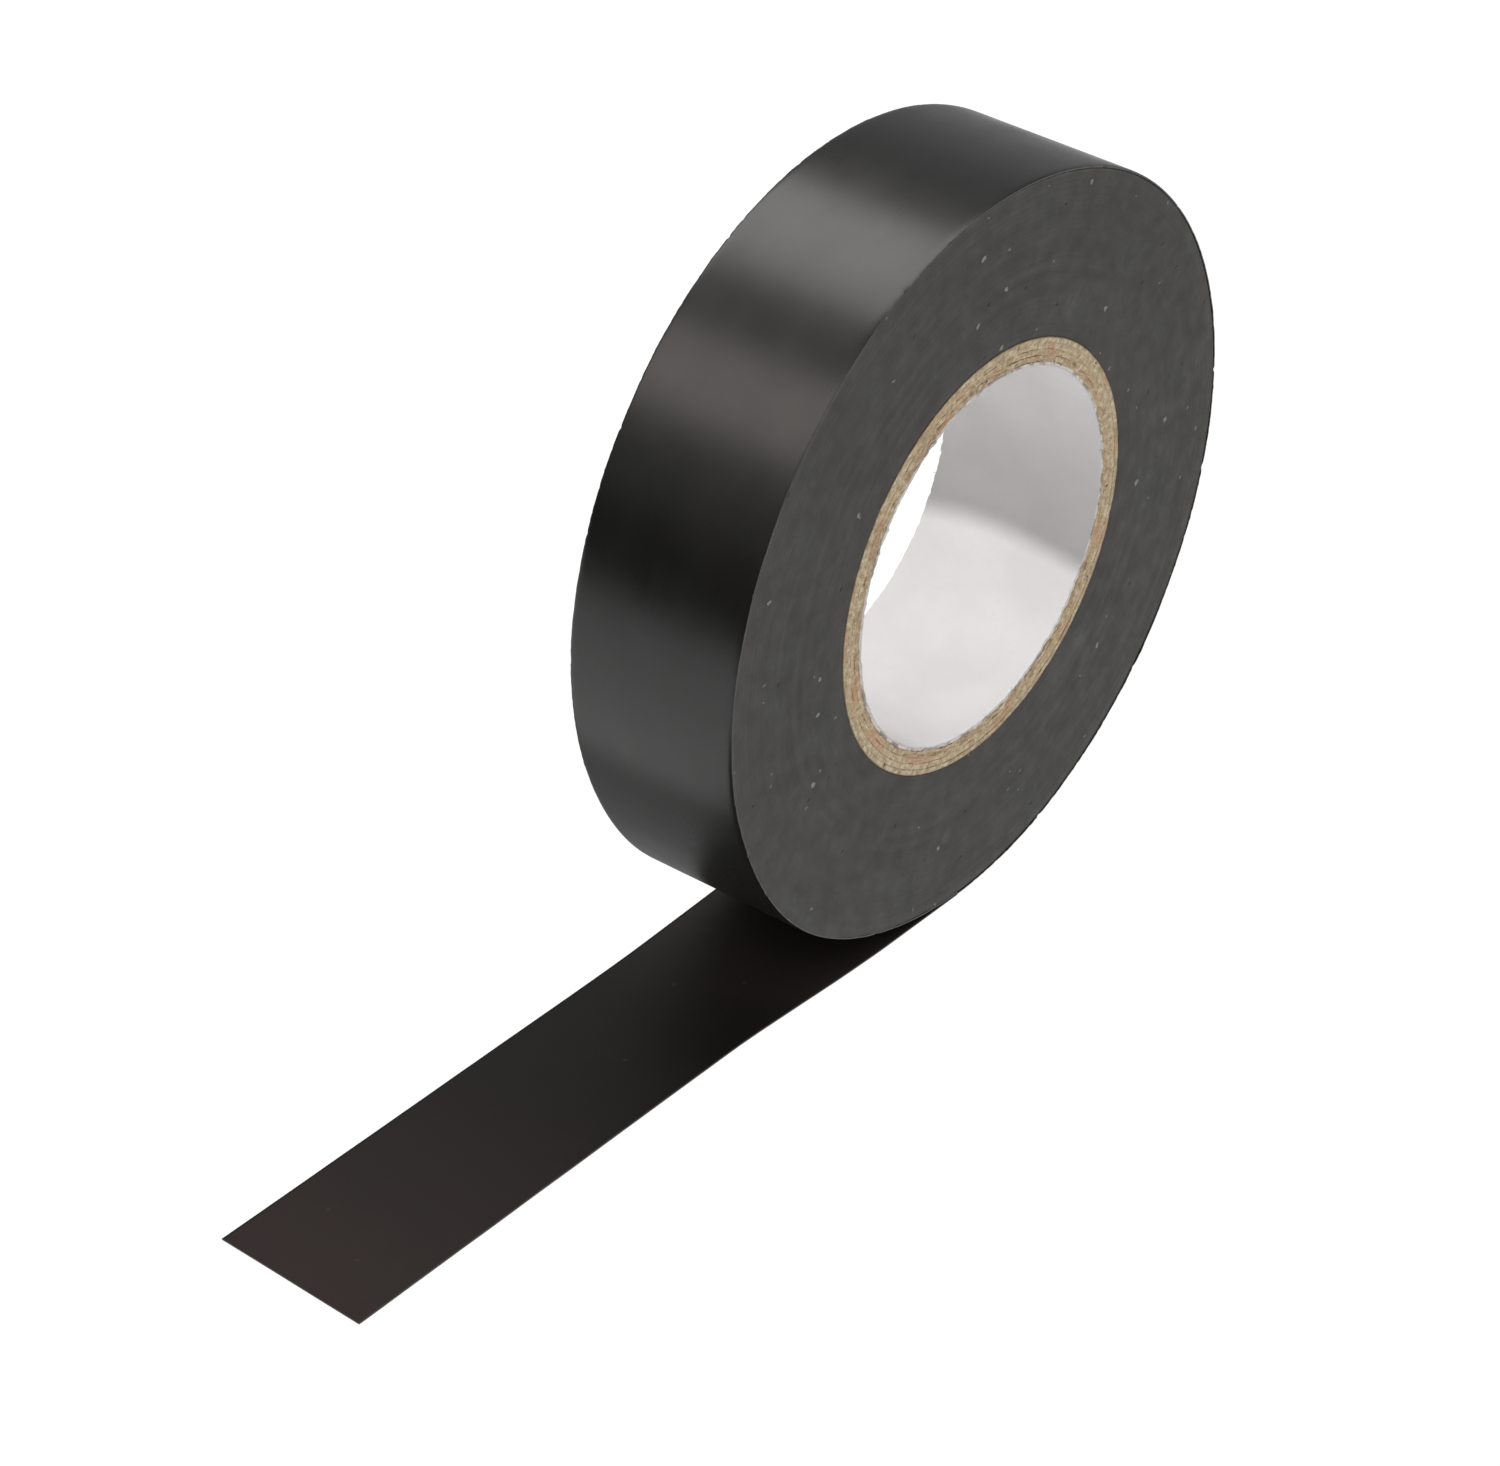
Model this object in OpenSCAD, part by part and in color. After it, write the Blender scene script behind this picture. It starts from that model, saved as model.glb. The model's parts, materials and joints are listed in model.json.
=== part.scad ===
// Roll of PVC insulating tape on a paperboard core, with a loose tail.
// Origin at the centre of the core's bore. The roll's axis runs along Y and +Z is up.
// The tail leaves the roll at its lowest point and lies flat towards -X, adhesive side up.

/* [Tape] */
// Width of the tape and length of the core
tape_w = 19; // [12:0.5:25]
// Thickness of the PVC backing film
backing_t = 0.12; // [0.08:0.01:0.2]
// Thickness of the adhesive coat
adhesive_t = 0.03; // [0.02:0.01:0.05]
// Radius of the roll where the outermost turn ends
roll_r = 39.4; // [30:0.1:45]

/* [Core] */
// Radius of the bore through the core
bore_r = 19.5; // [16:0.1:20]
// Thickness of the paper liner in the bore
liner_t = 0.4; // [0.2:0.05:0.6]
// Thickness of one paperboard ply
ply_t = 0.65; // [0.4:0.05:0.8]
// Number of paperboard plies
plies = 4; // [3:1:4]

/* [Tail] */
// Length of the tail's lead, from the roll to the first bend line
lead_l = 6; // [4:0.5:8]
// Distance from one bend line to the next
link_l = 12; // [9:0.5:12]
// Length of the tail along its far edge
tail_l = 87.2; // [80:0.1:100]
// Extra length of the tail along its near edge, from an askew cut
cut_skew = 2.6; // [0:0.1:5]

/* [Hidden] */
// Number of links that the tail bends in, one joint each
tail_links = 7;
PLY_NODES = [for (i = [1:plies]) str("core_ply_", i)];
BACKING_NODES = [for (i = [1:tail_links]) str("tail_backing_", i)];
ADHESIVE_NODES = [for (i = [1:tail_links]) str("tail_adhesive_", i)];

tape_t = backing_t + adhesive_t;
core_r = bore_r + liner_t + plies * ply_t;
half_w = tape_w / 2;
// The tail's film lies at the level of the roll's lowest point, its adhesive on top.
tail_bottom_z = -roll_r;
adhesive_z = -roll_r + backing_t;
// Facets of a round surface
round_fn = 180;

PVC_BLACK = [0.10, 0.10, 0.10];
ADHESIVE_BLACK = [0.07, 0.06, 0.05];
BOARD_BROWN = [0.64, 0.55, 0.42];
PAPER_WHITE = [0.88, 0.87, 0.86];

// A tube about the roll's axis
module tube(outer_r, inner_r) {
    rotate([90, 0, 0])
        difference() {
            cylinder(r = outer_r, h = tape_w, center = true, $fn = round_fn);
            cylinder(r = inner_r, h = 2 * tape_w, center = true, $fn = round_fn);
        }
}

// Half of a tube about the roll's axis: side is 1 for the +X half and -1 for the -X half.
module half_tube(side, outer_r, inner_r, centre_z) {
    translate([0, 0, centre_z])
        rotate([90, 0, 0])
            rotate([0, 0, side > 0 ? -90 : 90])
                rotate_extrude(angle = 180, $fn = round_fn)
                    translate([inner_r, -half_w])
                        square([outer_r - inner_r, tape_w]);
}

// One layer of the outermost turn, between two depths below its surface. The turn climbs by the
// tape's thickness, so each half is a half circle whose centre is a quarter thickness off the axis.
module turn_layer(top_depth, bottom_depth) {
    for (side = [1, -1]) {
        surface_r = roll_r - (2 - side) * tape_t / 4;
        half_tube(side, surface_r - top_depth, surface_r - bottom_depth, -side * tape_t / 4);
    }
}

// The white paper strip that lines the core
module core_liner() {
    color(PAPER_WHITE)
        tube(bore_r + liner_t, bore_r);
}

// One wound paperboard ply, counted from the bore outwards
module core_ply(i) {
    inner_r = bore_r + liner_t + (i - 1) * ply_t;
    color(BOARD_BROWN)
        tube(inner_r + ply_t, inner_r);
}

// All the turns of tape below the outermost one
module tape_windings() {
    color(PVC_BLACK)
        difference() {
            turn_layer(tape_t, roll_r - core_r + 2 * tape_t);
            rotate([90, 0, 0])
                cylinder(r = core_r, h = 2 * tape_w, center = true, $fn = round_fn);
        }
}

// The outermost turn's film
module outer_turn_backing() {
    color(PVC_BLACK)
        turn_layer(0, backing_t);
}

// The outermost turn's adhesive, on the inside of its film
module outer_turn_adhesive() {
    color(ADHESIVE_BLACK)
        turn_layer(backing_t, tape_t);
}

// Where link i of the tail starts, as a distance from the roll; link 0 is the lead.
function link_start(i) = i == 0 ? 0 : lead_l + (i - 1) * link_l;

// One length of the tail in plan, from one bend line to the next; the last one has the cut end.
module tail_plan(i) {
    start = link_start(i);
    last = i == tail_links;
    far_end = last ? tail_l : link_start(i + 1);
    near_end = last ? tail_l + cut_skew : far_end;
    polygon([[-start, half_w], [-start, -half_w], [-near_end, -half_w], [-far_end, half_w]]);
}

// The film of one length of the tail
module tail_backing(i) {
    color(PVC_BLACK)
        translate([0, 0, tail_bottom_z])
            linear_extrude(height = backing_t)
                tail_plan(i);
}

// The adhesive coat of one length of the tail
module tail_adhesive(i) {
    color(ADHESIVE_BLACK)
        translate([0, 0, adhesive_z])
            linear_extrude(height = adhesive_t)
                tail_plan(i);
}

core_liner();
for (i = [1:plies]) core_ply(i);
tape_windings();
outer_turn_backing();
outer_turn_adhesive();
tail_backing(0);  // tail_backing_root
tail_adhesive(0);  // tail_adhesive_root
for (i = [1:tail_links]) tail_backing(i);
for (i = [1:tail_links]) tail_adhesive(i);
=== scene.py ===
"""The looks of a roll of PVC electrical tape with a loose tail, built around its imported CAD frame.

Lengths are in metres. The roll's axis runs along Y, +Z is up, and the tail runs towards -X.
"""

import json
import math
import random

import bmesh
import bpy
import numpy as np
from mathutils import Matrix, Vector, noise


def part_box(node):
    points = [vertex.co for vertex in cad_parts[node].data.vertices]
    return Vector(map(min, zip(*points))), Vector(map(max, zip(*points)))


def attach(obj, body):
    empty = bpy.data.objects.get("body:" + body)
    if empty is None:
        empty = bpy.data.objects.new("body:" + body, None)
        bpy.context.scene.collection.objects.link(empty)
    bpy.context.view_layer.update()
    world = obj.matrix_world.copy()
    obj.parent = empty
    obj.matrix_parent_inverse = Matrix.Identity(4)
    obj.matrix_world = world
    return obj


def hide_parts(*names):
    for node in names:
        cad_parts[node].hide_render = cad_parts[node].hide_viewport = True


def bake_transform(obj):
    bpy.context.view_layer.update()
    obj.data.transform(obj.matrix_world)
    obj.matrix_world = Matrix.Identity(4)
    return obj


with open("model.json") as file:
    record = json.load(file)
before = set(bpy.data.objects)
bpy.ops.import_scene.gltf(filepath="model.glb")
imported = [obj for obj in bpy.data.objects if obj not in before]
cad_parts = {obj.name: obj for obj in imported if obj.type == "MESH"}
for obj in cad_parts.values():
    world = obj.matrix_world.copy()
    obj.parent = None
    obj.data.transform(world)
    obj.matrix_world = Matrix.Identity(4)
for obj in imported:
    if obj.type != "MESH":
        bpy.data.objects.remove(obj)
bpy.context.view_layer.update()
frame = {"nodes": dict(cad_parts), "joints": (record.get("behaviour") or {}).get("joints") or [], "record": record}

MM = 0.001
random.seed(19)

# ---------------------------------------------------------------- sizes, all from the frame


def node_points(name):
    """The vertices of a CAD node, as an array."""
    return np.array([v.co for v in frame["nodes"][name].data.vertices], float)


def tube_radius(name):
    """The outer radius of a CAD tube about the roll's axis."""
    low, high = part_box(name)
    return (high[0] - low[0]) / 2


RECORD = frame["record"]
MOUNTS = {mount["name"]: mount for mount in RECORD["mounts"]}
HALF_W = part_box("tape_windings")[1][1]
ROLL_R = -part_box("outer_turn_backing")[0][2]
BORE_R = MOUNTS["core_bore"]["dims"]["r_mm"] * MM
LINER_R = tube_radius("core_liner")
PLY_R = [tube_radius(f"core_ply_{i}") for i in range(1, 5)]
CORE_R = PLY_R[-1]
FILM_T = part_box("tail_backing_root")[1][2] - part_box("tail_backing_root")[0][2]
TAPE_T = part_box("tail_adhesive_root")[1][2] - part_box("tail_backing_root")[0][2]
LINKS = [joint for joint in frame["joints"] if joint["name"].startswith("tail_bend_")]
HINGE_X = [joint["pos_m"][0] for joint in LINKS]
LINK_L = HINGE_X[0] - HINGE_X[1]
END_POINTS = node_points(f"tail_backing_{len(LINKS)}")
TAIL_FAR = -END_POINTS[END_POINTS[:, 1] > 0][:, 0].min()
TAIL_NEAR = -END_POINTS[END_POINTS[:, 1] < 0][:, 0].min()

# The loose tail doesn't lie quite flat: past the roll it is twisted a little about its length.
# The far edge dips from the start. The near edge rises later, so that it clears the roll when wrapped.
TWIST = math.radians(-6.24)
FAR_TWIST_START, FAR_TWIST_RUN = 0, 36 * MM
NEAR_TWIST_START, NEAR_TWIST_RUN = 11 * MM, 27 * MM

# ---------------------------------------------------------------- mesh helpers

SHARP_ANGLE = math.radians(50)


def smoothstep(x):
    """0 below 0, 1 above 1, and a smooth step between them."""
    x = np.clip(x, 0, 1)
    return x * x * (3 - 2 * x)


def wobble(u, v=0.0, w=0.0):
    """Smooth noise from -1 to 1, the same on every run."""
    return noise.noise(Vector((u, v, w)))


def round_wobble(angle, turns, seed):
    """Smooth noise that closes on itself round a circle; more turns make it finer."""
    return wobble(turns * math.cos(angle), turns * math.sin(angle), seed)


def wobble_grid(us, vs, scale_u, scale_v, seed):
    """Smooth noise on a grid, as an array with a row for each u."""
    return np.array([[wobble(u * scale_u, v * scale_v, seed) for v in vs] for u in us])


def ring_noise(angles, vs, turns, scale_v, seed):
    """Noise that closes on itself round a ring: a row for each angle, a column for each v."""
    rows = []
    for a in angles:
        x, z = turns * math.cos(a), turns * math.sin(a) + 7.3 * seed
        rows.append([wobble(x, z, v * scale_v + seed) for v in vs])
    return np.array(rows)


def shares_across(edge, inside, count):
    """Places across the tape, from -1 to 1: count of them evenly inside, then those at the edge."""
    edge = np.array(edge)
    return np.concatenate([-edge[::-1], np.linspace(-inside, inside, count), edge])


def grid_faces(rows, columns, start=0):
    """Quads over a grid of points stored row by row."""
    faces = []
    for i in range(rows - 1):
        for k in range(columns - 1):
            a = start + i * columns + k
            b = a + columns
            faces.append((a, b, b + 1, a + 1))
    return faces


def slab_faces(rows, columns):
    """A closed thin slab, from a grid of points for its top and then one for its underside."""
    half = rows * columns
    faces = grid_faces(rows, columns) + [f[::-1] for f in grid_faces(rows, columns, start=half)]
    for i in range(rows - 1):
        for k in (0, columns - 1):
            a = i * columns + k
            b = a + columns
            faces.append((a, b, half + b, half + a))
    for k in range(columns - 1):
        for row in (0, rows - 1):
            a = row * columns + k
            faces.append((a, a + 1, half + a + 1, half + a))
    return faces


def make_mesh(name, points, faces, material, uv=None):
    """A smooth-shaded mesh object from points, faces and one (u, v) per point."""
    mesh = bpy.data.meshes.new(name)
    mesh.from_pydata([tuple(p) for p in points], [], faces)
    if uv is not None:
        layer = mesh.uv_layers.new(name="surface")
        index = np.empty(len(mesh.loops), int)
        mesh.loops.foreach_get("vertex_index", index)
        layer.data.foreach_set("uv", np.asarray(uv, float)[index].ravel())
    mesh.materials.append(material)
    mesh.polygons.foreach_set("use_smooth", [True] * len(mesh.polygons))
    mesh.set_sharp_from_angle(angle=SHARP_ANGLE)
    mesh.update()
    piece = bpy.data.objects.new(name, mesh)
    bpy.context.scene.collection.objects.link(piece)
    return piece


def turn_normals_out(piece):
    """Makes a closed mesh's faces point outwards."""
    work = bmesh.new()
    work.from_mesh(piece.data)
    bmesh.ops.recalc_face_normals(work, faces=work.faces)
    work.to_mesh(piece.data)
    work.free()


def lathe(name, material, profile, angles, shift):
    """A ring about the roll's axis from a closed profile of (radius, y) points.

    shift(i) gives arrays (dr, dy) that are added to the profile at angle number i.
    """
    radii = np.array([p[0] for p in profile])
    ys = np.array([p[1] for p in profile])
    points = []
    uv = []
    count = len(profile)
    for i, angle in enumerate(angles):
        dr, dy = shift(i)
        r = radii + dr
        y = ys + dy
        points.extend(zip(r * math.cos(angle), y, r * math.sin(angle)))
        uv.extend((ROLL_R * angle, v) for v in y)
    faces = []
    for i in range(len(angles)):
        j = (i + 1) % len(angles)
        for k in range(count):
            m = (k + 1) % count
            faces.append((i * count + k, i * count + m, j * count + m, j * count + k))
    piece = make_mesh(name, points, faces, material, uv)
    turn_normals_out(piece)
    return piece


# ---------------------------------------------------------------- material helpers

# Rub marks on the near side face: angle about the axis, distance from it, size
SCUFFS = [
    (math.radians(-52), CORE_R + 2.2 * MM, 3.2 * MM),
    (math.radians(-44), CORE_R + 3.0 * MM, 2.6 * MM),
    (math.radians(62), CORE_R + 3.5 * MM, 3.0 * MM),
    (math.radians(-95), CORE_R + 8.5 * MM, 1.2 * MM),
    (math.radians(12), ROLL_R - 3.0 * MM, 1.6 * MM),
]
# Colour of each ply's cut edge, from the bore outwards
BOARD_TONES = [
    (0.57, 0.435, 0.275, 1),
    (0.59, 0.455, 0.285, 1),
    (0.61, 0.485, 0.31, 1),
    (0.56, 0.455, 0.295, 1),
]
WHITE = (1, 1, 1, 1)


class Shader:
    """A node material under construction."""

    def __init__(self, name):
        self.material = bpy.data.materials.new(name)
        self.material.use_nodes = True
        self.tree = self.material.node_tree
        self.tree.nodes.clear()
        self.output = self.tree.nodes.new("ShaderNodeOutputMaterial")

    def add(self, kind, inputs=(), **settings):
        """Adds a node. inputs maps a socket's name or number to a value or to another socket."""
        made = self.tree.nodes.new(kind)
        for key, value in settings.items():
            setattr(made, key, value)
        for key, value in dict(inputs).items():
            if isinstance(value, bpy.types.NodeSocket):
                self.tree.links.new(value, made.inputs[key])
            else:
                made.inputs[key].default_value = value
        return made

    def object_space(self):
        """Metres from the roll's centre."""
        return self.add("ShaderNodeTexCoord").outputs["Object"]

    def face_space(self):
        """A flat vector for the roll's side faces: (x, z, 0)."""
        parts = self.add("ShaderNodeSeparateXYZ", {0: self.object_space()}).outputs
        return self.add("ShaderNodeCombineXYZ", {0: parts[0], 1: parts[2], 2: 0.0}).outputs[0]

    def uv_space(self):
        """Metres along the tape and across it."""
        return self.add("ShaderNodeTexCoord").outputs["UV"]

    def scaled(self, vector, scale):
        return self.add("ShaderNodeMapping", {"Vector": vector, "Scale": scale}).outputs[0]

    def noise(self, vector, scale, detail=3, roughness=0.5):
        made = self.add(
            "ShaderNodeTexNoise",
            {"Vector": vector, "Scale": scale, "Detail": detail, "Roughness": roughness},
        )
        return made.outputs["Fac"]

    def math(self, operation, a, b=0.0, clamp=False):
        return self.add("ShaderNodeMath", {0: a, 1: b}, operation=operation, use_clamp=clamp).outputs[0]

    def vector_math(self, operation, inputs, output=0):
        return self.add("ShaderNodeVectorMath", inputs, operation=operation).outputs[output]

    def ramp(self, value, low, high, out_low=0.0, out_high=1.0):
        """value from low..high mapped smoothly to out_low..out_high."""
        made = self.add(
            "ShaderNodeMapRange",
            {"Value": value, "From Min": low, "From Max": high, "To Min": out_low, "To Max": out_high},
            interpolation_type="SMOOTHSTEP",
        )
        return made.outputs[0]

    def mix(self, share, a, b):
        """Colour a at share 0 and b at share 1."""
        made = self.add("ShaderNodeMix", {"Factor": share, "A": a, "B": b}, data_type="RGBA")
        return made.outputs["Result"]

    def ragged(self, vector, size, scale):
        """The vector shaken by up to half of size, which roughens the outlines drawn from it."""
        shake = self.add("ShaderNodeTexNoise", {"Vector": vector, "Scale": scale, "Detail": 1})
        centred = self.vector_math("SUBTRACT", {0: shake.outputs["Color"], 1: (0.5, 0.5, 0.5)})
        scaled = self.vector_math("SCALE", {0: centred, "Scale": size})
        return self.vector_math("ADD", {0: vector, 1: scaled})

    def radius(self):
        """Distance from the roll's axis."""
        parts = self.add("ShaderNodeSeparateXYZ", {0: self.object_space()}).outputs
        x_squared = self.math("MULTIPLY", parts[0], parts[0])
        z_squared = self.math("MULTIPLY", parts[2], parts[2])
        return self.math("SQRT", self.math("ADD", x_squared, z_squared))

    def ring_space(self):
        """A vector of (distance from the axis, position along it, 0) that gives noise in rings."""
        parts = self.add("ShaderNodeSeparateXYZ", {0: self.object_space()}).outputs
        return self.add("ShaderNodeCombineXYZ", {0: self.radius(), 1: parts[1], 2: 0.0}).outputs[0]

    def specks(self, vector, scale, size, share):
        """A mask of small round specks on a flat vector: a share of its cells hold one each."""
        inputs = {"Vector": vector, "Scale": scale}
        cell = self.add("ShaderNodeTexVoronoi", inputs, voronoi_dimensions="2D")
        near = self.ramp(cell.outputs["Distance"], size, size * 0.4)
        pick = self.add("ShaderNodeSeparateColor", {0: cell.outputs["Color"]}).outputs[0]
        chosen = self.math("LESS_THAN", pick, share)
        return self.math("MULTIPLY", near, chosen)

    def scuffs(self, place, texture):
        """A mask of the pale rub marks on the side face, broken up by a texture."""
        mask = 0.0
        for angle, r, size in SCUFFS:
            centre = (r * math.cos(angle), -HALF_W, r * math.sin(angle))
            away = self.vector_math("DISTANCE", {0: place, 1: centre}, "Value")
            mask = self.math("ADD", mask, self.ramp(away, size, size * 0.2), clamp=True)
        return self.math("MULTIPLY", mask, self.ramp(texture, 0.40, 0.66, 0, 0.8))

    def bump(self, height, distance, strength):
        inputs = {"Height": height, "Distance": distance, "Strength": strength}
        return self.add("ShaderNodeBump", inputs).outputs[0]

    def finish(self, **inputs):
        """Ends the material in a principled shader with these inputs, underscores for spaces."""
        named = {key.replace("_", " "): value for key, value in inputs.items()}
        surface = self.add("ShaderNodeBsdfPrincipled", named)
        self.tree.links.new(surface.outputs[0], self.output.inputs["Surface"])
        return self.material


# ---------------------------------------------------------------- materials


def film_material():
    """The satin outer face of the PVC film: faint calender streaks along the tape, a fine mottle."""
    s = Shader("pvc_film")
    tape = s.uv_space()
    streaks = s.noise(s.scaled(tape, (1, 3, 1)), 70, 2)
    clouds = s.noise(tape, 70, 2)
    mottle = s.noise(tape, 260, 2)
    tint = s.mix(s.ramp(clouds, 0.35, 0.65), (0.0078, 0.0078, 0.0068, 1), (0.0100, 0.0088, 0.0078, 1))
    streak_rough = s.ramp(streaks, 0.3, 0.7, 0.275, 0.305)
    mottle_rough = s.ramp(mottle, 0.3, 0.7, -0.012, 0.018)
    rough = s.math("ADD", streak_rough, mottle_rough)
    height = s.math("ADD", s.math("MULTIPLY", streaks, 0.6), s.math("MULTIPLY", mottle, 0.3))
    return s.finish(
        Base_Color=tint,
        Roughness=rough,
        Specular_IOR_Level=0.5,
        Normal=s.bump(height, 0.00004, 0.5),
    )


def adhesive_material():
    """The tacky face of the tail: near black with a few dust specks, and painted light and shade: lighter near the
    roll, darkest in the middle, lighter and browner towards the free end, with a painted shadow line along the far
    edge and a painted highlight along the near edge.
    """
    s = Shader("adhesive")
    tape = s.uv_space()
    along, across = s.add("ShaderNodeSeparateXYZ", {0: tape}).outputs[:2]
    clouds = s.noise(tape, 60, 3)
    mottle = s.noise(tape, 260, 3)
    grain = s.noise(s.scaled(tape, (1, 3, 1)), 2200, 2)
    tone = s.ramp(s.math("ADD", clouds, s.math("MULTIPLY", mottle, 0.5)), 0.55, 0.95)
    # Painted light and shade along the tail: lighter near the roll, darkest in the middle, lighter and browner
    # towards the free end.
    painted_light_near_roll = s.mix(tone, (0.0450, 0.0390, 0.0350, 1), (0.0520, 0.0420, 0.0390, 1))
    middle = s.mix(tone, (0.0150, 0.0130, 0.0110, 1), (0.0190, 0.0145, 0.0135, 1))
    painted_light_free_end = s.mix(tone, (0.0590, 0.0370, 0.0310, 1), (0.0670, 0.0380, 0.0370, 1))
    color = s.mix(s.ramp(along, 18 * MM, 38 * MM), painted_light_near_roll, middle)
    color = s.mix(s.ramp(along, 48 * MM, 98 * MM), color, painted_light_free_end)
    dust = s.specks(tape, 230, 0.08, 0.05)
    color = s.mix(s.math("MULTIPLY", dust, 0.08), color, (0.30, 0.28, 0.26, 1))
    # A painted shadow line along the far edge, and a painted highlight along the near edge.
    painted_shade_far_edge = s.ramp(across, HALF_W - 0.34 * MM, HALF_W - 0.16 * MM, 0, 0.9)
    color = s.mix(painted_shade_far_edge, color, (0.003, 0.003, 0.003, 1))
    painted_highlight_near_edge = s.ramp(across, -HALF_W + 0.20 * MM, -HALF_W + 0.06 * MM, 0, 0.5)
    color = s.mix(painted_highlight_near_edge, color, (0.16, 0.15, 0.14, 1))
    return s.finish(
        Base_Color=color,
        Roughness=s.ramp(clouds, 0.3, 0.7, 0.48, 0.56),
        Specular_IOR_Level=0.13,
        Normal=s.bump(grain, 0.00002, 0.35),
    )


def side_material():
    """The wound edges on the roll's side: matte, with broken rings, scuffs, nicks and white lint."""
    s = Shader("wound_edges")
    place = s.object_space()
    rings = s.ring_space()
    fine = s.noise(rings, 5200, 3, 0.6)
    broad = s.noise(rings, 1100, 3)
    patch = s.noise(place, 95, 3)
    tint = s.noise(place, 150, 2)
    smear = s.noise(place, 420, 4, 0.6)
    broken = s.ramp(s.noise(place, 120, 2), 0.46, 0.62)
    arcs = s.math("MULTIPLY", s.math("SUBTRACT", broad, 0.5), broken)
    tone = s.math("ADD", s.ramp(fine, 0.3, 0.7, -0.04, 0.04), s.math("MULTIPLY", arcs, 1.6))
    tone = s.math("ADD", tone, s.ramp(smear, 0.35, 0.65, -0.12, 0.14))
    tone = s.math("ADD", tone, s.ramp(patch, 0.3, 0.7, 0.38, 0.66))
    color = s.mix(tone, (0.0305, 0.029, 0.0255, 1), (0.0635, 0.059, 0.053, 1))
    color = s.mix(s.ramp(tint, 0.50, 0.70, 0, 0.5), color, (0.043, 0.046, 0.037, 1))
    color = s.mix(s.ramp(tint, 0.50, 0.30, 0, 0.4), color, (0.053, 0.045, 0.044, 1))
    shoulder = s.ramp(s.radius(), ROLL_R - 1.5 * MM, ROLL_R - 0.7 * MM, 0, 0.35)
    color = s.mix(shoulder, color, (0.075, 0.072, 0.068, 1))
    color = s.mix(s.scuffs(place, smear), color, (0.105, 0.108, 0.108, 1))
    flat = s.ragged(s.face_space(), 0.7 * MM, 1500)
    lint = s.specks(flat, 230, 0.085, 0.10)
    flecks = s.specks(flat, 520, 0.11, 0.05)
    light = s.math("ADD", s.math("MULTIPLY", lint, 0.38), s.math("MULTIPLY", flecks, 0.22), clamp=True)
    color = s.mix(light, color, (0.60, 0.58, 0.53, 1))
    pits = s.specks(s.scaled(flat, (1.3, 1.3, 1.3)), 260, 0.09, 0.08)
    color = s.mix(s.math("MULTIPLY", pits, 0.55), color, (0.014, 0.012, 0.011, 1))
    height = s.math("ADD", s.math("MULTIPLY", fine, 0.2), s.math("MULTIPLY", broad, 0.8))
    height = s.math("ADD", height, s.math("MULTIPLY", smear, 0.5))
    height = s.math("SUBTRACT", s.math("ADD", height, s.math("MULTIPLY", lint, 1.5)), pits)
    return s.finish(
        Base_Color=color,
        Roughness=s.ramp(smear, 0.3, 0.7, 0.50, 0.68),
        Specular_IOR_Level=0.30,
        Normal=s.bump(height, 0.00008, 0.9),
    )


def board_material(number):
    """The cut edge of one paperboard ply: brown, fibrous, with pits, pale fibres and painted shade at the core's
    outer edge.
    """
    s = Shader(f"paperboard_{number}")
    place = s.object_space()
    rings = s.ring_space()
    fibre = s.noise(place, 1500, 4, 0.75)
    clump = s.noise(place, 560, 3, 0.6)
    layer = s.noise(rings, 3000, 2)
    patch = s.noise(place, 190 + 20 * number, 3)
    color = s.mix(s.ramp(fibre, 0.46, 0.66, 0, 0.85), BOARD_TONES[number - 1], (0.86, 0.74, 0.55, 1))
    color = s.mix(s.ramp(fibre, 0.47, 0.30, 0, 0.75), color, (0.27, 0.165, 0.095, 1))
    color = s.mix(s.ramp(layer, 0.55, 0.75, 0, 0.15), color, (0.40, 0.29, 0.18, 1))
    color = s.mix(s.ramp(patch, 0.50, 0.66, 0, 0.60), color, (0.64, 0.37, 0.235, 1))
    color = s.mix(s.ramp(clump, 0.42, 0.30, 0, 0.5), color, (0.37, 0.28, 0.165, 1))
    flat = s.ragged(s.face_space(), 0.5 * MM, 2600)
    pits = s.specks(flat, 480, 0.08, 0.07)
    color = s.mix(s.math("MULTIPLY", pits, 0.85), color, (0.07, 0.035, 0.025, 1))
    tufts = s.specks(s.scaled(flat, (1.2, 1.2, 1.2)), 560, 0.10, 0.07)
    color = s.mix(s.math("MULTIPLY", tufts, 0.55), color, (0.90, 0.83, 0.72, 1))
    # Painted shade: the core's outer edge is darkened where the gap to the tape falls in shade.
    rim = s.ramp(s.radius(), CORE_R - 0.26 * MM, CORE_R - 0.06 * MM, 0, 0.8)
    color = s.mix(rim, color, (0.15, 0.11, 0.075, 1))
    height = s.math("SUBTRACT", s.math("ADD", fibre, s.math("MULTIPLY", clump, 0.8)), pits)
    return s.finish(
        Base_Color=color,
        Roughness=s.ramp(fibre, 0.3, 0.7, 0.85, 0.95),
        Specular_IOR_Level=0.2,
        Normal=s.bump(height, 0.00025, 1.0),
    )


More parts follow.
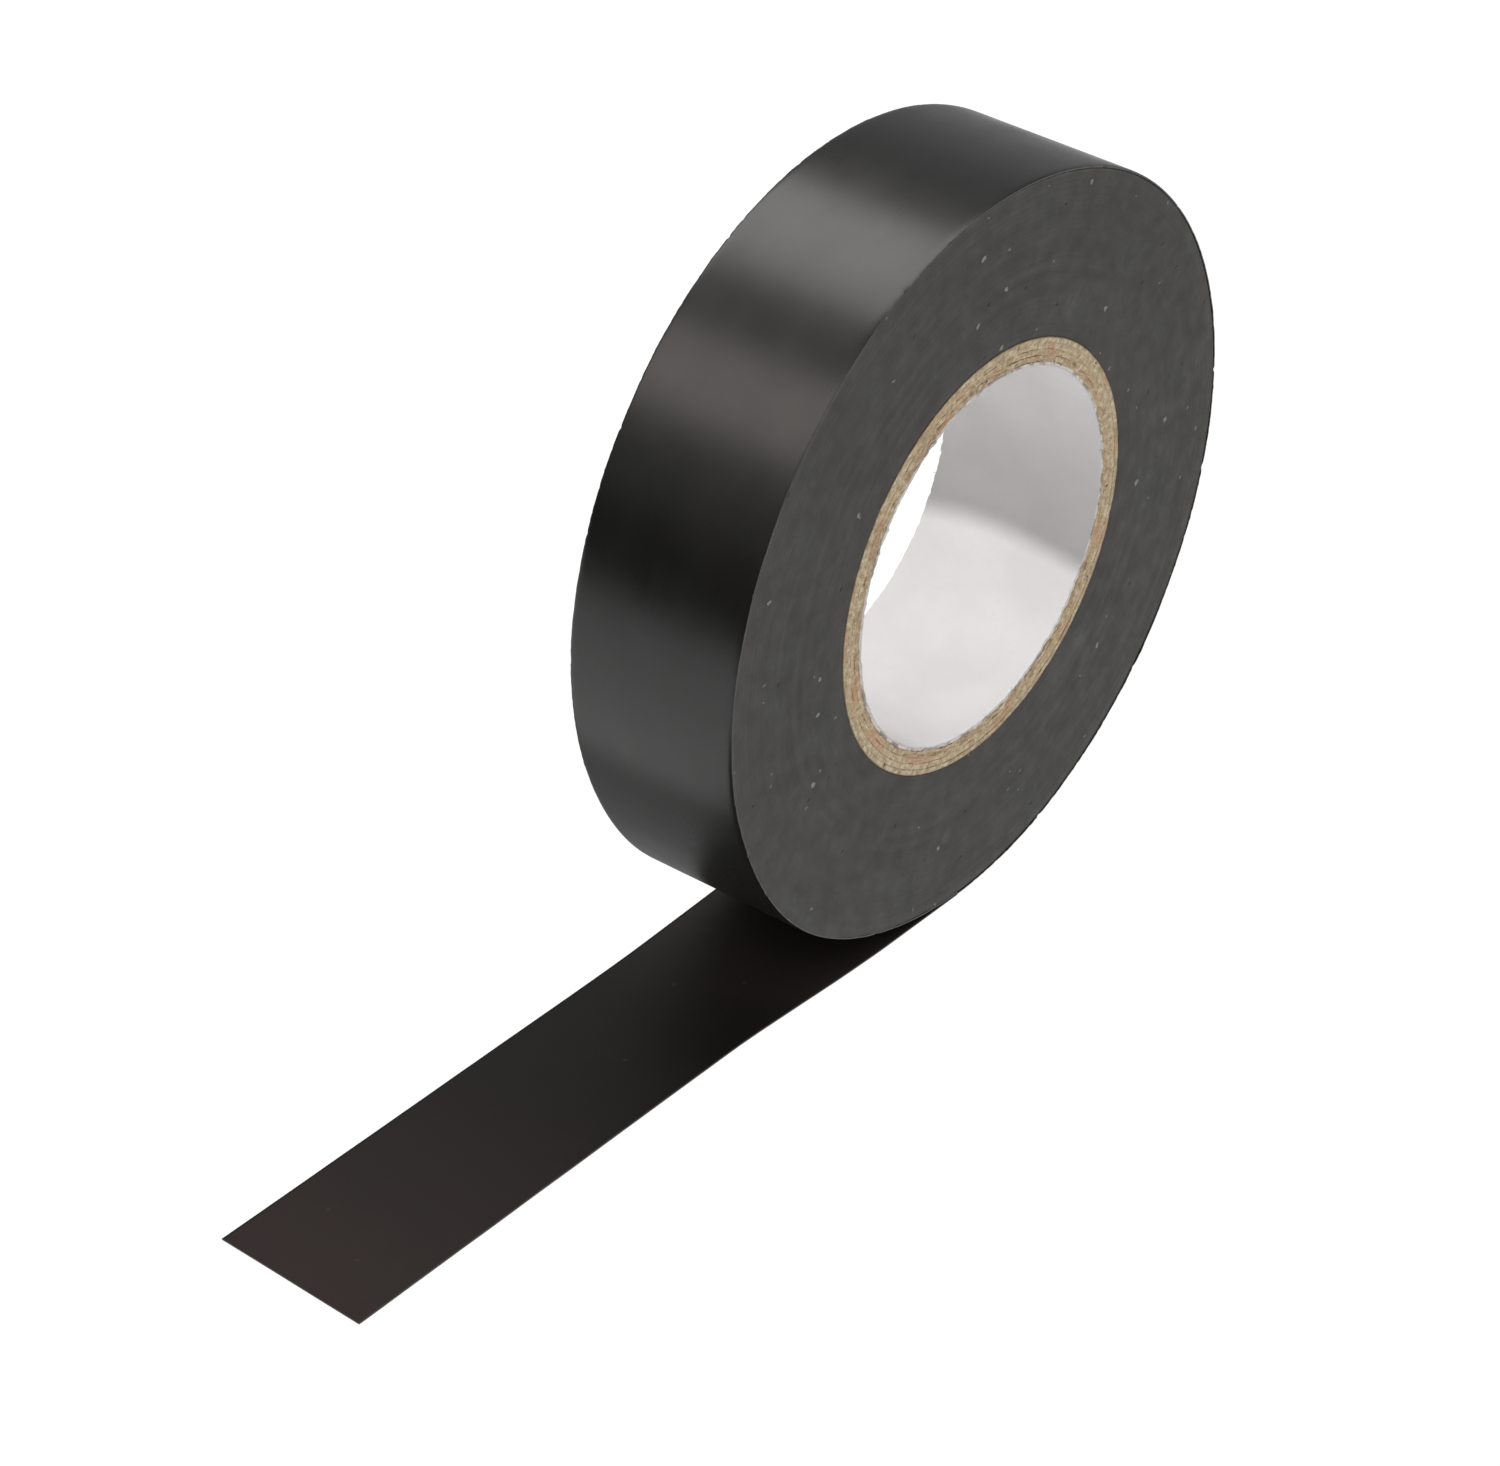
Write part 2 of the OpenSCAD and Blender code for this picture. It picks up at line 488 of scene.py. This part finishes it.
def liner_material():
    """The smooth white paper in the bore, a little mottled, with painted shade on its cut edge, broken up by
    tears.
    """
    s = Shader("liner_paper")
    place = s.object_space()
    mottle = s.noise(place, 110, 3)
    pulp = s.noise(place, 1800, 3, 0.6)
    torn = s.noise(place, 520, 3)
    color = s.mix(s.ramp(mottle, 0.35, 0.65), (0.655, 0.635, 0.630, 1), (0.700, 0.685, 0.680, 1))
    color = s.mix(s.ramp(pulp, 0.55, 0.8, 0, 0.25), color, (0.60, 0.58, 0.565, 1))
    # Painted shade: the cut edge is darkened and greyed where it falls in shade, broken up by tears.
    edge = s.mix(s.ramp(torn, 0.40, 0.58), (0.40, 0.36, 0.31, 1), (0.80, 0.76, 0.70, 1))
    color = s.mix(s.ramp(s.radius(), BORE_R + 0.10 * MM, BORE_R + 0.16 * MM), color, edge)
    return s.finish(
        Base_Color=color,
        Roughness=s.ramp(pulp, 0.3, 0.7, 0.6, 0.75),
        Specular_IOR_Level=0.0,
        Normal=s.bump(pulp, 0.00004, 0.5),
    )


def fibre_material(name, color_a, color_b):
    """Torn paper fibres, each a little different."""
    s = Shader(name)
    place = s.object_space()
    tone = s.noise(place, 900, 2)
    color = s.mix(s.ramp(tone, 0.35, 0.65), color_a, color_b)
    return s.finish(
        Base_Color=color,
        Roughness=0.85,
        Specular_IOR_Level=0.2,
        Normal=s.bump(tone, 0.00005, 0.5),
    )


def floor_material():
    """A plain white studio floor."""
    s = Shader("studio_floor")
    tone = s.noise(s.object_space(), 3, 2)
    color = s.mix(tone, (0.20, 0.20, 0.20, 1), (0.22, 0.22, 0.22, 1))
    return s.finish(
        Base_Color=color,
        Roughness=0.8,
        Specular_IOR_Level=0.1,
        Emission_Color=WHITE,
        Emission_Strength=0.975,
    )


FILM = film_material()
ADHESIVE = adhesive_material()
SIDE = side_material()
BOARD = [board_material(number) for number in range(1, len(PLY_R) + 1)]
LINER = liner_material()
WHITE_FIBRE = fibre_material("white_fibre", (0.86, 0.83, 0.79, 1), (0.72, 0.64, 0.55, 1))
BROWN_FIBRE = fibre_material("brown_fibre", (0.50, 0.36, 0.24, 1), (0.30, 0.18, 0.11, 1))

# ---------------------------------------------------------------- the wound turns

# Where the roll is a little out of round: angle about its axis, half width, height
BULGES = [
    (math.radians(231), math.radians(31), 0.45 * MM),
    (math.radians(42), math.radians(48), 0.20 * MM),
]
# How far the wound edges stand out of the side face: single turns, groups of turns, slow waves
TURN_RELIEF, GROUP_RELIEF, SLOW_RELIEF = 0.004 * MM, 0.022 * MM, 0.03 * MM
MOST_RELIEF = 0.12 * MM
# The side faces' mean plane is this far inside the tape's width.
SIDE_SINK = 0.05 * MM
# The outermost film: its edge's waves and nicks, the depth to which its edges are tucked in, and its
# surface's dents
EDGE_WAVE, EDGE_NICK = 0.07 * MM, 0.5 * MM
EDGE_TUCK = 0.08 * MM
FILM_DENT = 0.016 * MM
# Waves and dents fade to nothing over this angle at both ends of the outermost turn.
FADE_ANGLE = 0.15


def surface_radius(turned):
    """Radius of the outermost film's surface, at an angle gone back from where the tail leaves."""
    return ROLL_R - TAPE_T * turned / (2 * math.pi)


def out_of_round(angle):
    """How far the wound roll bulges past a true circle at this angle about its axis."""
    bulge = 0.0
    for middle, half_width, height in BULGES:
        away = abs((angle - middle + math.pi) % (2 * math.pi) - math.pi) / half_width
        bulge += height * math.cos(min(1.0, away) * math.pi / 2) ** 2
    return bulge


def side_relief(radii, angles, seed):
    """How far the wound edges stand out of the side face, for each angle and radius."""
    turn = ring_noise(angles, radii, 0.6, 2600, seed)
    groups = ring_noise(angles, radii, 0.9, 520, seed + 3)
    slow = ring_noise(angles, radii, 1.4, 90, seed + 5)
    return TURN_RELIEF * turn + GROUP_RELIEF * groups + SLOW_RELIEF * slow


def build_windings():
    """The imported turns: two side faces with fine relief, and a rim that the last turn covers."""
    angles = np.linspace(0, 2 * math.pi, 288, endpoint=False)
    rim_r = ROLL_R - 2 * TAPE_T
    radii = np.linspace(CORE_R, rim_r - 0.25 * MM, 120)
    shoulder = [(rim_r - 0.10 * MM, HALF_W - 0.02 * MM), (rim_r, HALF_W - 0.10 * MM)]
    near = [(r, -HALF_W + SIDE_SINK) for r in radii]
    far = [(r, HALF_W - SIDE_SINK) for r in radii[::-1]]
    profile = near + [(r, -y) for r, y in shoulder] + shoulder[::-1] + far
    near_relief = side_relief(radii, angles, 1.0)
    far_relief = side_relief(radii[::-1], angles, 9.0)
    rim = np.zeros(2 * len(shoulder))
    share = np.array([(r - CORE_R) / (ROLL_R - CORE_R) for r, _ in profile])

    def shift(i):
        dy = np.concatenate([-near_relief[i], rim, far_relief[i]])
        return out_of_round(angles[i]) * share, np.clip(dy, -MOST_RELIEF, MOST_RELIEF)

    piece = lathe("wound_turns", SIDE, profile, angles, shift)
    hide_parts("tape_windings")
    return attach(piece, "roll")


def film_edge(turned, seed):
    """How far the outermost film's edge strays along Y: slow waves, fine waves and small nicks."""
    waves = [
        wobble(a * 5, seed) + 0.6 * wobble(a * 21, seed + 3) + 0.7 * wobble(a * 75, seed + 5)
        for a in turned
    ]
    nicks = [max(0.0, wobble(a * 46, seed + 9) - 0.38) for a in turned]
    return np.array(waves) * EDGE_WAVE - np.array(nicks) * EDGE_NICK


def build_outer_turn():
    """The outermost turn: a ribbon that leaves the roll at its lowest line and goes once round."""
    steps = 720
    turned = np.linspace(0, 2 * math.pi, steps)
    across = shares_across([0.95, 0.98, 0.993, 1], 0.9, 31)
    ease = np.clip((np.abs(across) - 0.95) / 0.05, 0, 1)
    tuck = EDGE_TUCK * ease**2.5
    dents = wobble_grid(turned * ROLL_R, across * HALF_W, 60, 90, 4.0) * FILM_DENT
    edge_near = film_edge(turned, 2.0)
    edge_far = film_edge(turned, 8.0)
    closing = smoothstep(turned / FADE_ANGLE) * smoothstep((2 * math.pi - turned) / FADE_ANGLE)
    # A hair thinner than the tape, so that the ribbon's two ends don't share points
    thickness = 0.99 * TAPE_T
    points = []
    uv = []
    for layer in (0, 1):
        for i, a in enumerate(turned):
            angle = -math.pi / 2 + a
            surface = surface_radius(a) + out_of_round(angle)
            for k, v in enumerate(across):
                r = surface - tuck[k] + dents[i, k] * closing[i] - layer * thickness
                stray = edge_far[i] if v > 0 else -edge_near[i]
                y = v * HALF_W + stray * abs(v) ** 24 * closing[i]
                points.append((r * math.cos(angle), y, r * math.sin(angle)))
                uv.append((-a * ROLL_R, y))
    piece = make_mesh("outer_turn", points, slab_faces(steps, len(across)), FILM, uv)
    turn_normals_out(piece)
    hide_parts("outer_turn_backing", "outer_turn_adhesive")
    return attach(piece, "roll")


# ---------------------------------------------------------------- the core

# Raggedness of each ply's cut edge, from the bore outwards
PLY_ROUGHNESS = (0.20 * MM, 0.12 * MM, 0.08 * MM, 0.05 * MM)
# Gap between two plies, and between the last ply and the tape
PLY_GAP, TAPE_GAP = 0.01 * MM, 0.05 * MM
# How far the plies' cut faces lie inside the tape's width; the last ply stands a little proud.
PLY_SINK, LAST_PLY_SINK = 0.07 * MM, 0.02 * MM
# Depth of the faint groove between two plies
PLY_GROOVE = 0.02 * MM
# The paper liner: how far it keeps inside the bore's wall and the tape's width, the waves of its
# surface, and how far its ends are torn back and lifted
LINER_CLEARANCE, LINER_SINK = 0.01 * MM, 0.08 * MM
LINER_WAVE = 0.035 * MM
LINER_TEAR, LINER_LIFT = 0.16 * MM, 0.07 * MM
# Fibres start a little inside the tape's width, and this share of them lies along the dense arc.
FIBRE_SINK = 0.14 * MM
DENSE_SHARE = 0.55


def rough_edge(angles, seed, size):
    """A ragged offset along a ring's edge, for each angle."""
    return size * np.array(
        [
            0.5 * round_wobble(a, 9, seed)
            + 0.7 * round_wobble(a, 31, seed + 2)
            + 0.5 * round_wobble(a, 80, seed + 4)
            for a in angles
        ]
    )


def board_relief(angles, radii, seed):
    """Unevenness of a ply's cut face, for each angle and radius."""
    coarse = ring_noise(angles, radii, 14, 2500, seed)
    return coarse + ring_noise(angles, radii, 45, 5000, seed + 6)


def build_ply(number):
    """One paperboard ply, with a ragged cut edge on both faces."""
    angles = np.linspace(0, 2 * math.pi, 360, endpoint=False)
    last = number == len(PLY_R)
    inner = (LINER_R if number == 1 else PLY_R[number - 2]) + PLY_GAP
    outer = PLY_R[number - 1] - (TAPE_GAP if last else PLY_GAP)
    edge_y = HALF_W - (LAST_PLY_SINK if last else PLY_SINK)
    radii = np.linspace(inner, outer, 9)
    fall = np.zeros(len(radii))
    fall[[0, -1]] = PLY_GROOVE
    near = [(r, -edge_y + f) for r, f in zip(radii, fall)]
    far = [(r, edge_y - f) for r, f in zip(radii[::-1], fall)]
    roughness = PLY_ROUGHNESS[number - 1]
    near_rough = board_relief(angles, radii, number)
    far_rough = board_relief(angles, radii, number + 30)
    ragged = rough_edge(angles, 20 + number, roughness)

    def shift(i):
        dy = np.concatenate([-near_rough[i], far_rough[i]]) * roughness * 0.7
        dr = np.zeros(len(dy))
        if number == 1:
            dr[[0, -1]] = ragged[i]
        dy[0] += abs(ragged[i])
        dy[-1] -= abs(ragged[i])
        return dr, dy

    piece = lathe(f"core_board_{number}", BOARD[number - 1], near + far, angles, shift)
    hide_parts(f"core_ply_{number}")
    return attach(piece, "roll")


def build_liner():
    """The white paper in the bore, torn a little along both ends."""
    angles = np.linspace(0, 2 * math.pi, 420, endpoint=False)
    ys = shares_across([0.96, 0.985, 1], 0.92, 24) * (HALF_W - LINER_SINK)
    inner = [(BORE_R + LINER_CLEARANCE, y) for y in ys]
    outer = [(LINER_R, y) for y in ys[::-1]]
    wave = ring_noise(angles, ys, 1.6, 60, 50.0) * LINER_WAVE
    tear_near = rough_edge(angles, 60, LINER_TEAR)
    tear_far = rough_edge(angles, 70, LINER_TEAR)
    lift_near = rough_edge(angles, 64, LINER_LIFT)

    def shift(i):
        dr = np.concatenate([wave[i], np.zeros(len(ys))])
        dy = np.zeros(2 * len(ys))
        dy[[0, -1]] = tear_near[i]
        dy[[1, -2]] = tear_near[i] * 0.4
        dy[[len(ys) - 1, len(ys)]] = tear_far[i]
        dr[0] += lift_near[i]
        return dr, dy

    piece = lathe("core_paper", LINER, inner + outer, angles, shift)
    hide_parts("core_liner")
    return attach(piece, "roll")


def fibre_points(start, direction, length, width, bend):
    """The points and faces of one thin curved fibre with three sides, thinner towards its tip."""
    sections = 5
    side = direction.cross(Vector((0, 1, 0.3))).normalized()
    up = direction.cross(side).normalized()
    points = []
    for i in range(sections):
        t = i / (sections - 1)
        bow = side * (bend * math.sin(math.pi * t)) + up * (bend * 0.6 * t * t)
        middle = start + direction * (length * t) + bow
        thick = width * (1 - 0.75 * t)
        for k in range(3):
            a = 2 * math.pi * k / 3
            points.append(middle + side * (thick * math.cos(a)) + up * (thick * math.sin(a)))
    faces = []
    for i in range(sections - 1):
        for k in range(3):
            m = (k + 1) % 3
            faces.append((3 * i + k, 3 * i + m, 3 * i + 3 + m, 3 * i + 3 + k))
    faces.append((2, 1, 0))
    faces.append(tuple(3 * (sections - 1) + k for k in range(3)))
    return points, faces


def build_fibres(name, material, face, count, radius, spread, length, width, dense_arc):
    """Fuzz on one face of the core: short fibres about a radius, most of them along an arc."""
    points = []
    faces = []
    for _ in range(count):
        in_arc = random.random() < DENSE_SHARE
        angle = random.uniform(*dense_arc) if in_arc else random.uniform(0, 2 * math.pi)
        r = radius + random.uniform(-spread, spread)
        start = Vector((r * math.cos(angle), face * (HALF_W - FIBRE_SINK), r * math.sin(angle)))
        round_it = Vector((-math.sin(angle), 0, math.cos(angle))) * random.uniform(-1, 1)
        inward = Vector((-math.cos(angle), 0, -math.sin(angle))) * random.uniform(-0.3, 0.7)
        outward = Vector((0, face * random.uniform(0.0, 0.25), 0))
        direction = inward + round_it * 1.4 + outward
        run = length * random.uniform(0.4, 1.3)
        thick = width * random.uniform(0.6, 1.3)
        bend = run * random.uniform(-0.3, 0.3)
        more, shapes = fibre_points(start, direction.normalized(), run, thick, bend)
        base = len(points)
        points.extend(more)
        faces.extend(tuple(base + v for v in f) for f in shapes)
    piece = make_mesh(name, points, faces, material)
    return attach(piece, "roll")


# ---------------------------------------------------------------- the tail

TAIL_WAVE = 0.05 * MM
# The tail's long edges stray by this share of the half width, from a short way past the roll.
TAIL_STRAY = 0.0022
TAIL_STRAY_START = 5 * MM
# The adhesive thins out by this much at the tail's long edges.
ADHESIVE_SHY = 0.02 * MM


def tail_point(s, v, depth):
    """A point of the tail: s from the roll, v across from -1 (near) to 1, depth below its top."""
    near = float(smoothstep((s - NEAR_TWIST_START) / NEAR_TWIST_RUN))
    far = float(smoothstep((s - FAR_TWIST_START) / FAR_TWIST_RUN))
    far_share = ((v + 1) / 2) ** 2
    turn = TWIST * (near + (far - near) * far_share)
    offset = v * HALF_W
    lift = TAIL_WAVE * wobble(s * 45, v * 0.7, 3.0) * near
    z = -ROLL_R + TAPE_T - depth + offset * math.sin(turn) + lift
    return (-s, offset * math.cos(turn), z)


def edge_stray(s, v):
    """How far the tail's long edge strays at this place, as a share of the half width."""
    wave = TAIL_STRAY * wobble(s * 160, 4.0 if v > 0 else 9.0)
    return wave * abs(v) ** 8 * min(1, s / TAIL_STRAY_START)


def build_tail_piece(number):
    """The tail across one bend line, from the middle of one link to the middle of the next."""
    hinge = -HINGE_X[number - 1]
    start = hinge - LINK_L / 2
    stop = hinge + LINK_L / 2
    last = number == len(LINKS)
    rows = 25
    across = shares_across([0.96, 0.99, 1], 0.9, 19)
    edge = np.clip((np.abs(across) - 0.97) / 0.03, 0, 1)
    adhesive_t = TAPE_T - FILM_T
    for layer, cad, material, slot, top, bottom in (
        ("adhesive", "adhesive", ADHESIVE, "adhesive", 0, adhesive_t),
        ("film", "backing", FILM, "pvc_film", adhesive_t, TAPE_T),
    ):
        points = []
        uv = []
        for depth in (top, bottom):
            for i in range(rows):
                for k, v in enumerate(across):
                    end = TAIL_NEAR + (TAIL_FAR - TAIL_NEAR) * (v + 1) / 2 if last else stop
                    s = start + (end - start) * i / (rows - 1)
                    shy = ADHESIVE_SHY * edge[k] if depth == 0 else 0
                    points.append(tail_point(s, v + edge_stray(s, v), depth + shy))
                    uv.append((s, v * HALF_W))
        faces = slab_faces(rows, len(across))
        piece = make_mesh(f"loose_{layer}_{number}", points, faces, material, uv)
        turn_normals_out(piece)
        stands_for = [f"tail_{cad}_{number}"] + ([f"tail_{cad}_root"] if number == 1 else [])
        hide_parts(*stands_for)
        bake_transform(piece)


build_windings()
build_outer_turn()
for ply in range(1, len(PLY_R) + 1):
    build_ply(ply)
bore_paper = build_liner()
for face, side in ((-1, "near"), (1, "far")):
    build_fibres(
        f"white_fibres_{side}",
        WHITE_FIBRE,
        face,
        count=110,
        radius=LINER_R,
        spread=0.2 * MM,
        length=0.6 * MM,
        width=0.08 * MM,
        dense_arc=(-0.3, 1.9),
    )
    build_fibres(
        f"brown_fibres_{side}",
        BROWN_FIBRE,
        face,
        count=90,
        radius=LINER_R + 0.5 * MM,
        spread=0.5 * MM,
        length=0.5 * MM,
        width=0.05 * MM,
        dense_arc=(-0.3, 2.4),
    )
for link in range(1, len(LINKS) + 1):
    build_tail_piece(link)

# ---------------------------------------------------------------- floor, camera and light

FLOOR_GAP = 0.08 * MM
FLOOR_Z = -ROLL_R - HALF_W * math.sin(-TWIST) - FLOOR_GAP
FLOOR_R = 3
floor = make_mesh(
    "studio_floor",
    [(x * FLOOR_R, y * FLOOR_R, FLOOR_Z) for x, y in ((-1, -1), (1, -1), (1, 1), (-1, 1))],
    [(0, 1, 2, 3)],
    floor_material(),
)

CAMERA_AZIMUTH = math.radians(-53.72)
CAMERA_ELEVATION = math.radians(33.26)
CAMERA_ROLL = math.radians(3.04)
CAMERA_DISTANCE = 495.4 * MM
CAMERA_AIM_RIGHT = -15.0 * MM
CAMERA_AIM_UP = -20.2 * MM
CAMERA_LENS = 122.9
SENSOR = 36

# Share of the mirrored view's direction that runs along the roll's axis, the same all over the rim
MIRROR_ALONG = math.cos(CAMERA_AZIMUTH) * math.cos(CAMERA_ELEVATION)
CARD_DISTANCE = 0.7
CARD_LENGTH = 0.9
STANDING_CARD_NEAR, STANDING_CARD_FAR = -0.3, 0.7
# Strength of the surroundings as light; the camera sees them as white.
WORLD_LEVEL = 0.34

# The beam on the lower part of the paper in the bore: where it comes from, as an angle about the
# roll's axis and a share along it, and where its middle passes the roll's centre
BEAM_POWER = 53
BEAM_DISTANCE = 1.2
BEAM_ANGLE = math.radians(110.7)
BEAM_ALONG = 0.642
BEAM_RADIUS = 40.2 * MM
BEAM_SIDEWAYS = -27.1 * MM
BEAM_UPWARDS = 10.1 * MM
LAMP_RADIUS = 1 * MM


def place_camera():
    """A long lens, level but for a slight roll, aimed between the roll and its tail."""
    back = Vector(
        (
            math.sin(CAMERA_AZIMUTH) * math.cos(CAMERA_ELEVATION),
            -math.cos(CAMERA_AZIMUTH) * math.cos(CAMERA_ELEVATION),
            math.sin(CAMERA_ELEVATION),
        )
    )
    level = Vector((math.cos(CAMERA_AZIMUTH), math.sin(CAMERA_AZIMUTH), 0))
    upright = back.cross(level)
    right = level * math.cos(CAMERA_ROLL) + upright * math.sin(CAMERA_ROLL)
    up = back.cross(right)
    data = bpy.data.cameras.new("camera")
    data.lens = CAMERA_LENS
    data.sensor_width = SENSOR
    data.clip_start = 0.01
    camera = bpy.data.objects.new("camera", data)
    bpy.context.scene.collection.objects.link(camera)
    place = back * CAMERA_DISTANCE + right * CAMERA_AIM_RIGHT + up * CAMERA_AIM_UP
    turn = Matrix((right, up, back)).transposed().to_4x4()
    camera.matrix_world = Matrix.Translation(place) @ turn
    bpy.context.scene.camera = camera


def on_roll_side(angle, along, distance):
    """A point at a distance from the origin.

    angle is about the roll's axis, from +X towards +Z. along is the share that runs along the axis.
    """
    across = math.sqrt(1 - along * along)
    return Vector((across * math.cos(angle), along, across * math.sin(angle))) * distance


def aim(thing, place, target):
    """Puts a lamp at place, facing target."""
    thing.location = place
    thing.rotation_euler = (Vector(target) - Vector(place)).to_track_quat("-Z", "Y").to_euler()


def reflected_card(name, angle, spread, radiance, color):
    """A long soft box parallel to the roll's axis that shows only as a sheen on glossy surfaces.

    angle is its middle about the axis, spread the angle that it covers.
    """
    across = CARD_DISTANCE * math.sqrt(1 - MIRROR_ALONG**2)
    width = 2 * across * math.tan(spread / 2)
    data = bpy.data.lights.new(name, "AREA")
    data.shape = "RECTANGLE"
    data.size = width
    data.size_y = CARD_LENGTH
    data.energy = radiance * math.pi * width * CARD_LENGTH
    data.color = color
    lamp = bpy.data.objects.new(name, data)
    bpy.context.scene.collection.objects.link(lamp)
    place = on_roll_side(angle, MIRROR_ALONG, CARD_DISTANCE)
    middle = Vector((0, place.y, 0))
    facing = (middle - place).normalized()
    along = Vector((0, 1, 0))
    turn = Matrix((along.cross(-facing), along, -facing)).transposed().to_4x4()
    lamp.matrix_world = Matrix.Translation(place) @ turn
    lamp.visible_diffuse = False


def bore_spot(paper):
    """A beam from behind and above that lights only the lower part of the paper in the bore."""
    data = bpy.data.lights.new("bore_beam", "SPOT")
    data.energy = BEAM_POWER
    data.shadow_soft_size = LAMP_RADIUS
    data.spot_size = 2 * math.atan(BEAM_RADIUS / BEAM_DISTANCE)
    data.spot_blend = 0.0
    lamp = bpy.data.objects.new("bore_beam", data)
    bpy.context.scene.collection.objects.link(lamp)
    direction = on_roll_side(BEAM_ANGLE, BEAM_ALONG, 1)
    sideways = Vector((math.sin(BEAM_ANGLE), 0, -math.cos(BEAM_ANGLE)))
    upwards = direction.cross(sideways)
    middle = sideways * BEAM_SIDEWAYS + upwards * BEAM_UPWARDS
    aim(lamp, middle + direction * BEAM_DISTANCE, middle)
    lamp.visible_glossy = False
    lit = bpy.data.collections.new("bore_beam_lights")
    lit.objects.link(paper)
    lamp.light_linking.receiver_collection = lit


def sheen_card(name, corners, radiance):
    """A plain card that shows only in the sheen of glossy surfaces."""
    material = Shader(name).finish(
        Base_Color=(0, 0, 0, 1),
        Roughness=1.0,
        Specular_IOR_Level=0.0,
        Emission_Color=WHITE,
        Emission_Strength=radiance,
    )
    card = make_mesh(name, corners, [(0, 1, 2, 3)], material)
    card.visible_camera = False
    card.visible_diffuse = False
    card.visible_shadow = False


def standing_card(name, x, top, radiance):
    """A sheen card that stands on the floor across the X axis, as high as top."""
    near, far = STANDING_CARD_NEAR, STANDING_CARD_FAR
    sheen_card(name, [(x, near, FLOOR_Z), (x, far, FLOOR_Z), (x, far, top), (x, near, top)], radiance)


def foot_card():
    """A dim card on the floor behind the roll, in place of the roll's shadow there."""
    z = FLOOR_Z + 0.5 * MM
    left, right, near, far = -48 * MM, 30 * MM, HALF_W, 60 * MM
    corners = [(left, near, z), (right, near, z), (right, far, z), (left, far, z)]
    sheen_card("foot_card", corners, radiance=0.35)


def studio_world():
    """Grey all round for the lighting, white behind the object for the camera."""
    world = bpy.data.worlds.new("studio")
    world.use_nodes = True
    tree = world.node_tree
    background = tree.nodes["Background"]
    path = tree.nodes.new("ShaderNodeLightPath")
    level = tree.nodes.new("ShaderNodeMapRange")
    level.inputs["To Min"].default_value = WORLD_LEVEL
    level.inputs["To Max"].default_value = 1.0
    tree.links.new(path.outputs["Is Camera Ray"], level.inputs["Value"])
    tree.links.new(level.outputs[0], background.inputs["Strength"])
    background.inputs["Color"].default_value = WHITE
    bpy.context.scene.world = world


place_camera()
reflected_card(
    "high_card",
    angle=math.radians(79.5),
    spread=math.radians(33.5),
    radiance=3.65,
    color=(1.0, 0.965, 0.935),
)
reflected_card(
    "left_card",
    angle=math.radians(129.5),
    spread=math.radians(24),
    radiance=2.55,
    color=(1.0, 0.93, 0.88),
)
bore_spot(bore_paper)
standing_card("left_black_card", x=-0.20, top=0.05, radiance=0.0)
standing_card("right_grey_card", x=0.25, top=0.165, radiance=0.42)
foot_card()
studio_world()
bpy.context.scene.view_settings.view_transform = "Standard"
